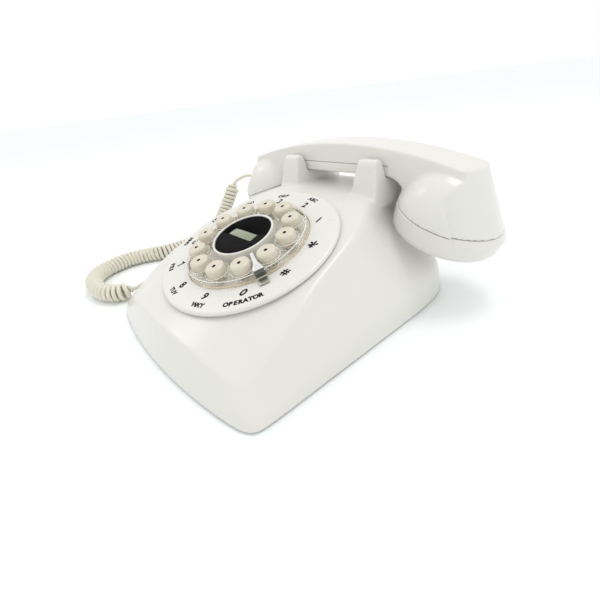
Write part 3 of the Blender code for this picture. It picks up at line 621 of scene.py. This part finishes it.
def cradle_mesh(side):
    """One cradle: a front ear and a rear ear with the saddle between them, tapering upward."""
    outline = [
        (40.5, 62.0), (43.6, 74.0), (46.6, 90.0), (47.8, 92.4), (49.6, 93.2), (52.4, 93.0),
        (54.6, 91.4), (56.4, 86.0), (56.7, SADDLE_Z), (88.4, SADDLE_Z), (88.8, 88.0),
        (90.2, 90.8), (92.6, 90.8), (93.8, 88.0), (93.9, 62.0),
    ]
    bm = bmesh.new()
    for x in (-1, 1):
        ring = []
        for y, z in outline:
            half_width = 11.6 - 4.4 * (z - 62.0) / 31.0
            ring.append(bm.verts.new(mm(side * EAR_X + x * half_width, y, z)))
        bm.faces.new(ring if x < 0 else ring[::-1])
    bm.verts.ensure_lookup_table()
    count = len(outline)
    for i in range(count):
        j = (i + 1) % count
        bm.faces.new((bm.verts[i], bm.verts[j], bm.verts[count + j], bm.verts[count + i]))
    ridges = [edge for edge in bm.edges if edge.calc_face_angle(0.0) > math.radians(60)]
    bmesh.ops.bevel(bm, geom=ridges, offset=0.0014, segments=3, profile=0.5, affect="EDGES")
    return finished("cradle", bm)


def build_housing():
    shell = new_object("housing_shell", housing_cage())
    mirror = shell.modifiers.new("mirror", "MIRROR")
    mirror.merge_threshold = 0.0001
    soften = shell.modifiers.new("soften", "SUBSURF")
    soften.levels = 3
    soften.render_levels = 3
    wall = shell.modifiers.new("wall", "SOLIDIFY")
    wall.thickness = WALL * 0.001
    wall.offset = -1.0
    apply_modifiers(shell)
    shell.data = joined("housing_shell", [(shell.data, None), (cradle_mesh(-1), None),
                                          (cradle_mesh(1), None)])
    moulded(shell, 1.0, 6)
    cut(shell, box_mesh("below_foot", (-120, -140, -30), (120, 140, FOOT_HEIGHT)))
    openings = [
        ((-92, BASE_PLUG_Y - 4.2, 6.8), (-74.6, BASE_PLUG_Y + 4.2, 15.2)),
        ((22.5, 88, 6.8), (33.5, 100, 17.2)),
        ((-47, 88, 9.5), (-33, 100, 14.5)),
        ((-41.7, 68.8, 51.4), (41.7, 76.2, 61.8)),
    ]
    for side in (-1, 1):
        openings.append(((side * EAR_X - 3.4, HANDSET_Y - 5.4, 55),
                         (side * EAR_X + 3.4, HANDSET_Y + 5.4, 90)))
    for low, high in openings:
        cut(shell, box_mesh("opening", low, high))
    shade(shell.data, 40.0)
    show(shell, "base", IVORY, ["housing"])


# ---------------------------------------------------------------- handset
def arc(centre, radius, start, end, steps):
    return [(centre[0] + radius * math.cos(math.radians(start + (end - start) * i / steps)),
             centre[1] + radius * math.sin(math.radians(start + (end - start) * i / steps)))
            for i in range(steps + 1)]


def handle_outline():
    """Side view of the handset's arched bar, as (x, z), ending on its two flat ends."""
    lean = math.tan(math.radians(END_LEAN))
    half_angle = math.degrees(math.asin(ARCH_HALF_LENGTH / HANDLE_ARCH_RADIUS))
    top = arc((0, HANDLE_TOP - HANDLE_ARCH_RADIUS), HANDLE_ARCH_RADIUS, 90 + half_angle,
              90 - half_angle, 48)
    low = 63.4
    side = [(END_FOOT[0] - (low - END_FOOT[1]) * lean + 3.0, low), (62.0, 69.6), (57.6, 72.5),
            (56.0, 75.6), (52.6, 78.6), (48.6, 80.2), (44.0, HANDLE_UNDERSIDE)]
    return top + side + [(-x, z) for x, z in reversed(side)]


def bar_mesh():
    """The arched bar between the cups, with rounded long edges."""
    bm = bmesh.new()
    outline = handle_outline()
    rings = [[bm.verts.new(mm(x, HANDSET_Y + y, z)) for x, z in outline]
             for y in (-HANDLE_WIDTH / 2, HANDLE_WIDTH / 2)]
    bm.faces.new(rings[0])
    bm.faces.new(rings[1][::-1])
    count = len(outline)
    for i in range(count):
        j = (i + 1) % count
        bm.faces.new((rings[0][i], rings[1][i], rings[1][j], rings[0][j]))
    ridges = [edge for edge in bm.edges if edge.calc_face_angle(0.0) > math.radians(35)]
    bmesh.ops.bevel(bm, geom=ridges, offset=0.0032, segments=5, profile=0.5, affect="EDGES")
    return finished("bar", bm)


def end_mesh():
    """All that lies beyond one bowed end face, which stands at x = 0 here."""
    bow = arc((-END_BOW, 0), END_BOW, -50, 50, 28) + [(60, 60), (60, -60)]
    bm = bmesh.new()
    rings = [[bm.verts.new(mm(x, y, z)) for x, y in bow] for z in (-60, 100)]
    bm.faces.new(rings[0])
    bm.faces.new(rings[1][::-1])
    count = len(bow)
    for i in range(count):
        j = (i + 1) % count
        bm.faces.new((rings[0][i], rings[1][i], rings[1][j], rings[0][j]))
    return finished("end_face", bm)


def cup_place(side):
    return placed((side * CUP_X, HANDSET_Y, CUP_Z), (0, side * CUP_TILT, 0))


def end_plane_place(side):
    return placed((side * END_FOOT[0], HANDSET_Y, END_FOOT[1]),
                  (0, -END_LEAN, 0 if side > 0 else 180))


def plug_place():
    """The socket in the handset's left end, square to that end."""
    lean = math.radians(END_LEAN)
    return placed((-END_FOOT[0] + PLUG_RISE * math.sin(lean), HANDSET_Y,
                   END_FOOT[1] + PLUG_RISE * math.cos(lean)),
                  (0, END_LEAN, 0))


def build_handset():
    dome = [(0, CUP_HEIGHT), (7.0, 30.4), (15.0, 28.4), (22.1, 24.6), (27.7, 19.0), (31.7, 12.0),
            (33.7, 5.5), (CUP_RADIUS, 0)]
    dome = [tuple(point)[:2] for point in smooth_route([(r, h, 0) for r, h in dome], 1.5)] + [(0, 0)]
    dome[0] = (0, CUP_HEIGHT)
    end = end_mesh()
    pieces = []
    bar = new_object("bar", bar_mesh())
    for side in (-1, 1):
        cup = new_object("cup", turned_mesh("cup", dome), cup_place(side))
        for ob in (bar, cup):
            cut(ob, end.copy(), end_plane_place(side))
        pieces.append((cup.data, cup_place(side)))
        bpy.data.objects.remove(cup, do_unlink=True)
    shell = new_object("handset_shell_skin", joined("handset_skin", [(bar.data, None)] + pieces))
    bpy.data.objects.remove(bar, do_unlink=True)
    moulded(shell, 0.8, 8)
    hollow = [(0, 16), (12, 16), (20, 9), (25, 3.5), (27.5, 1), (27.5, -2), (0, -2)]
    rim = [(CUP_RADIUS + 4, 0), (CUP_RADIUS + 4, -9), (0, -9), (0, 0)]
    for side in (-1, 1):
        cut(shell, turned_mesh("below_rim", rim, 64), cup_place(side))
        cut(shell, turned_mesh("hollow", hollow, 48), cup_place(side))
    cut(shell, box_mesh("notch", (-INSERT_HALF_LENGTH - GAP, 0, 60),
                        (INSERT_HALF_LENGTH + GAP, 150, HANDLE_SEAM)))
    cut(shell, box_mesh("socket", (-7, -3.5, -3.5), (9, 3.5, 3.5)), plug_place())
    shade(shell.data, 40.0)
    show(shell, "handset", IVORY, ["handset_shell"])
    half = HANDLE_WIDTH / 2
    insert = box_mesh("handle_grip", (-INSERT_HALF_LENGTH, HANDSET_Y - half, HANDLE_UNDERSIDE),
                      (INSERT_HALF_LENGTH, HANDSET_Y + half, HANDLE_SEAM - GAP), 1.3, 4)
    show(new_object("handle_grip", insert), "handset", IVORY, ["handle_insert"])


def on_circle(radius, degrees):
    return radius * math.cos(math.radians(degrees)), radius * math.sin(math.radians(degrees))


def build_caps():
    """Screw-on caps with sound holes, each over its capsule."""
    outer = [(33.8, -CAP_SEAM), (CUP_RADIUS, -0.7), (34.0, -7.5), (33.4, -12.0), (31.8, -15.0),
             (29.2, -CAP_HEIGHT), (25.0, -15.9), (17.5, -15.0)]
    inner = [(17.5, -13.2), (27.4, -13.4), (28.4, -12.0), (28.4, -7.0), (28.4, -CAP_SEAM)]
    profile = rounded(outer, 2.5, closed=False, steps=5) + [(0, -14.6), (0, -12.8)] + inner
    patterns = {
        "receiver": [(0, 0)] + [on_circle(7.0, 60 * i) for i in range(6)],
        "transmitter": [on_circle(5.0, 90 * i) for i in range(4)]
        + [on_circle(13.0, 36 * i) for i in range(10)],
    }
    end = end_mesh()
    for word, side in (("receiver", 1), ("transmitter", -1)):
        cap = new_object(word + "_screw_cap", turned_mesh("cap", profile, 128), cup_place(side))
        cut(cap, end.copy(), end_plane_place(side))
        cut(cap, rod_mesh("sound_holes", patterns[word], 1.1, -20, -8, 16), cup_place(side))
        shade(cap.data, 32.0)
        show(cap, "handset", IVORY, [word + "_cap"])


# ---------------------------------------------------------------- dial
DIAL_PLACE = placed(DIAL_CENTRE, (DIAL_TILT, 0, 0))
BUTTON_NAMES = ("1", "2", "3", "4", "5", "6", "7", "8", "9", "0", "hash", "star")
BUTTON_ANGLES = [FIRST_BUTTON_ANGLE + 360 * i / BUTTON_COUNT for i in range(BUTTON_COUNT)]
BUTTON_SPOTS = [on_circle(BUTTON_CIRCLE, angle) for angle in BUTTON_ANGLES]
LEGENDS = (("1", ""), ("2", "ABC"), ("3", "DEF"), ("4", "GHI"), ("5", "JKL"), ("6", "MNO"),
           ("7", "PRS"), ("8", "TUV"), ("9", "WXY"), ("0", "OPERATOR"), ("#", ""), ("*", ""))
FIGURE_RADIUS = 49.2
FIGURE_SIZE = 7.4
LETTER_RADIUS = 56.2
LETTER_SIZE = 4.3
LETTER_PITCH = 2.95
FIGURE_WEIGHT = 0.28              # how far each printed stroke is fattened


def glyph(character, size, centre, turn):
    """One printed character as a very thin solid, centred on a spot of the number plate."""
    font = bpy.data.curves.new("glyph", "FONT")
    font.body = character
    font.size = size * 0.001
    font.align_x = "CENTER"
    font.offset = FIGURE_WEIGHT * 0.001
    font.extrude = 0.00003
    font.resolution_u = 3
    holder = new_object("glyph", font)
    bpy.context.view_layer.update()
    mesh = bpy.data.meshes.new_from_object(
        holder.evaluated_get(bpy.context.evaluated_depsgraph_get()))
    bpy.data.objects.remove(holder, do_unlink=True)
    heights = [vertex.co.y for vertex in mesh.vertices]
    lift = -(max(heights) + min(heights)) / 2
    return mesh, placed((*centre, 0.0), (0, 0, turn)) @ Matrix.Translation((0, lift, 0))


def build_legends():
    """Figures stand upright; letters follow the ring, read from the front on both halves."""
    glyphs = []
    for angle, (figure, letters) in zip(BUTTON_ANGLES, LEGENDS):
        size = FIGURE_SIZE * (1.9 if figure == "*" else 1.0)
        glyphs.append(glyph(figure, size, on_circle(FIGURE_RADIUS, angle), 0.0))
        upper = math.sin(math.radians(angle)) > 0
        step = math.degrees(LETTER_PITCH / LETTER_RADIUS) * (-1 if upper else 1)
        for i, letter in enumerate(letters):
            at = angle + step * (i - (len(letters) - 1) / 2)
            glyphs.append(glyph(letter, LETTER_SIZE, on_circle(LETTER_RADIUS, at),
                                at - 90 if upper else at + 90))
    legend = new_object("dial_legend", joined("dial_legend", glyphs), DIAL_PLACE)
    show(legend, "base", INK)


def ring_mesh(radius, height, wire):
    """A thin round ring about Z."""
    section = arc((radius, height), wire, 0, 360, 8)[:-1]
    return turned_mesh("ring", section, 96, 80.0)


def build_wheel_edges():
    """Thin rings coloured as painted glints: they stand for light gathered in the clear wheel's edges,
    painted amber at its rim.
    """
    # Bright rings at the top and foot of every well and round the rim: painted glints.
    rims = [(ring_mesh(WELL_RADIUS + 0.3, WHEEL_TOP - 0.2, 0.22), placed((x, y, 0)))
            for x, y in BUTTON_SPOTS]
    rims += [(ring_mesh(WELL_RADIUS + 0.1, 0.6, 0.16), placed((x, y, 0))) for x, y in BUTTON_SPOTS]
    rims.append((ring_mesh(WHEEL_RADIUS - 0.5, WHEEL_TOP - 0.3, 0.25), None))
    show(new_object("dial_wheel_glints", joined("glints", rims), DIAL_PLACE), "base",
         PAINTED_GLINT)
    # The amber ring at the wheel's foot is a painted glint standing in for light refracted through the
    # rim.
    foot = [(ring_mesh(WHEEL_RADIUS - 0.1, 0.35, 0.3), None)]
    show(new_object("dial_wheel_painted_amber_glint", joined("amber", foot), DIAL_PLACE), "base",
         PAINTED_AMBER_GLINT)


def build_dial():
    plate = [(PLATE_RADIUS - 1.5, 0), (PLATE_RADIUS - 0.4, -0.5), (PLATE_RADIUS, -1.4),
             (PLATE_RADIUS, -2.5), (55.4, -2.7), (55.4, -9.0), (53.4, -9.0), (53.4, -2.7),
             (43.0, -2.7), (43.0, -0.5), (43.6, 0)]
    ob = new_object("dial_number_plate", turned_mesh("plate", rounded(plate, 0.5), 192), DIAL_PLACE)
    show(ob, "base", IVORY_DIAL, ["number_plate"])
    wheel_profile = rounded([(WHEEL_RADIUS, WHEEL_TOP), (WHEEL_RADIUS, -2.6), (21.8, -2.6),
                             (21.8, WHEEL_TOP)], 0.9)
    wheel = new_object("dial_clear_wheel", turned_mesh("wheel", wheel_profile, 160), DIAL_PLACE)
    cut(wheel, rod_mesh("wells", BUTTON_SPOTS, WELL_RADIUS, -8, 9, 48), DIAL_PLACE)
    soften = wheel.modifiers.new("soften", "BEVEL")
    soften.width = 0.0005
    soften.segments = 2
    soften.limit_method = "ANGLE"
    soften.angle_limit = math.radians(60)
    apply_modifiers(wheel)
    shade(wheel.data, 40.0)
    show(wheel, "base", CLEAR, ["finger_wheel"])
    build_wheel_edges()
    hub = rounded([(19.9, 4.0), (19.9, HUB_TOP), (HUB_RADIUS, HUB_TOP), (HUB_RADIUS, -2.6),
                   (18, -2.6), (18, 2.5)], 0.5, closed=False)
    hub = [(0, 4.0)] + hub + [(0, 2.5)]
    show(new_object("dial_hub", turned_mesh("hub", hub, 128), DIAL_PLACE), "base",
         IVORY_DIAL, ["hub_ring"])
    card = rounded([(19.5, 7.5), (19.5, 6.6)], 0.2, closed=False)
    card = new_object("dial_black_card", turned_mesh("card", [(0, 7.5)] + card + [(0, 6.6)], 128),
                      DIAL_PLACE)
    cut(card, box_mesh("window_hole", (-12.4, -3.7, 5), (12.4, 3.7, 9)), DIAL_PLACE)
    show(card, "base", SATIN_BLACK, ["center_card"])
    window = box_mesh("display", (-12.0, -3.3, 4.4), (12.0, 3.3, 7.3), 0.3, 2)
    show(new_object("dial_display", window, DIAL_PLACE), "base", LCD,
         ["display_window"])


def build_buttons():
    """Cream caps with a shallow dish on top and a black dot at its middle."""
    side = rounded([(3.6, BUTTON_TOP - 0.2), (4.8, BUTTON_TOP), (6.1, BUTTON_TOP - 0.9),
                    (BUTTON_RADIUS, 6.0), (BUTTON_RADIUS, BUTTON_SKIRT), (STEM_RADIUS, BUTTON_SKIRT),
                    (STEM_RADIUS, -8.7)], 1.0, closed=False)
    profile = [(0, BUTTON_TOP - 0.8), (1.1, BUTTON_TOP - 0.75), (DOT_RADIUS, BUTTON_TOP - 0.45)]
    mesh = turned_mesh("button_cap", profile + side + [(0, -8.7)], 48)
    for face in mesh.polygons:
        centre = face.center * 1000
        if math.hypot(centre.x, centre.y) < DOT_RADIUS - 0.01 and centre.z > BUTTON_SKIRT:
            face.material_index = 1
    for name, (x, y) in zip(BUTTON_NAMES, BUTTON_SPOTS):
        button = new_object("button_cap_" + name, mesh.copy(), DIAL_PLACE @ placed((x, y, 0)))
        show(button, "key_" + name, [CREAM, INK], ["button_" + name])


def build_finger_stop():
    """A bent chrome strip: a dull foot on the number plate, a bend painted with a dark reflection, a
    finger over the wheel.
    """
    stations = [(49.9, 0.85, 2.9), (47.0, 0.85, 3.1), (44.6, 0.85, 3.2), (43.6, 1.5, 3.2),
                (43.3, 3.2, 3.2), (43.1, 4.7, 3.1), (42.0, 5.7, 3.0), (40.0, 6.1, 2.7),
                (38.2, 6.25, 2.3), (36.0, 6.4, 1.7), (34.0, 6.5, 1.35), (29.0, 6.65, 1.2),
                (24.9, 6.7, 1.15)]
    route = smooth_route(stations, 0.5)
    bm = bmesh.new()
    rows = [[bm.verts.new(mm(u, share * half, h)) for share in (-1, -0.5, 0, 0.5, 1)]
            for u, h, half in route]
    for low, high in zip(rows, rows[1:]):
        for k in range(4):
            bm.faces.new((low[k], high[k], high[k + 1], low[k + 1]))
    stop = new_object("dial_finger_stop", finished("stop", bm),
                      DIAL_PLACE @ placed((0, 0, 0), (0, 0, STOP_ANGLE)))
    sheet = stop.modifiers.new("sheet", "SOLIDIFY")
    sheet.thickness = 0.0008
    sheet.offset = 0.0
    edge = stop.modifiers.new("edge", "BEVEL")
    edge.width = 0.00025
    edge.segments = 2
    edge.limit_method = "ANGLE"
    edge.angle_limit = math.radians(50)
    apply_modifiers(stop)
    shade(stop.data, 40.0)
    # Finger gets chrome, the foot dull chrome, and the bend between them chrome painted dark as its
    # reflection.
    for face in stop.data.polygons:
        along = face.center.x * 1000
        face.material_index = 0 if along < STOP_BEND else 2 if along < STOP_FOOT else 1
    show(stop, "base", [CHROME, DULL_CHROME, PAINTED_DARK_REFLECTION_CHROME], ["finger_stop"])


build_housing()
build_handset()
build_caps()
build_dial()
build_legends()
build_buttons()
build_finger_stop()


# ---------------------------------------------------------------- CAD nodes that keep their own shape
def paint(names, mat):
    for name in names:
        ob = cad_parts[name]
        ob.data.materials.clear()
        ob.data.materials.append(mat)


def nodes_called(start):
    return [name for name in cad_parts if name.startswith(start)]


paint(["hook_plunger_left", "hook_plunger_right"], IVORY)
# Cream pan with painted light: lightened to offset the shade under the clear wheel.
paint(["dial_pan"], CREAM_PAN_PAINTED_LIGHT)
paint(["base_plate", "ringer_frame", "clapper", "clapper_pin"], STEEL)
paint(nodes_called("housing_screw"), STEEL)
paint(nodes_called("foot_"), RUBBER)
paint(nodes_called("standoff_") + nodes_called("gong_"), BRASS)
paint(["main_board", "keypad_board"], BOARD)
paint(["keypad_membrane"], RUBBER)
paint(["handset_cord_jack", "line_jack", "ringer_switch_body", "hook_switch", "hook_bar",
       "receiver_capsule", "transmitter_capsule"], DARK)
paint(["ringer_switch_knob"], KNOB_BLACK)
paint(["ringer_coil"], COPPER)
paint(["cord_plug_base", "cord_plug_handset"], PLUG_CLEAR)


# ---------------------------------------------------------------- floor and light
def plain(name, colour, roughness):
    mat, tree, shader, place = node_material(name)
    tree.links.new(two_tone(tree, spread(tree, noise(tree, place, 3.0), 0.0, 1.0), colour,
                            tuple(0.995 * part for part in colour)), shader.inputs["Base Color"])
    shader.inputs["Roughness"].default_value = roughness
    return mat


def build_studio():
    """A pale floor under an even white sky, with a soft lamp above and one behind."""
    bm = bmesh.new()
    bmesh.ops.create_grid(bm, x_segments=1, y_segments=1, size=30.0)
    floor = new_object("floor", finished("floor", bm), placed((0, 0, -0.05)))
    floor.data.materials.append(plain("floor_paint", (0.955, 0.985, 0.99), 1.0))
    world = bpy.data.worlds.new("studio")
    world.use_nodes = True
    world.node_tree.nodes["Background"].inputs["Color"].default_value = (1.0, 1.0, 1.0, 1.0)
    world.node_tree.nodes["Background"].inputs["Strength"].default_value = 1.0
    bpy.context.scene.world = world
    for name, (spot, size, power) in LAMPS.items():
        light = bpy.data.lights.new(name, "AREA")
        light.size = size
        light.energy = power
        ob = new_object(name, light)
        aim = Vector((0, 0, 0.04)) - Vector(spot)
        ob.matrix_world = Matrix.Translation(spot) @ aim.to_track_quat("-Z", "Y").to_matrix().to_4x4()
    bpy.context.scene.view_settings.view_transform = "Standard"


LAMPS = {
    "top_lamp": ((0.15, 0.35, 1.4), 0.5, 3.5),
    "side_lamp": ((-0.9, -0.3, 0.9), 0.3, 0.8),
}
build_studio()
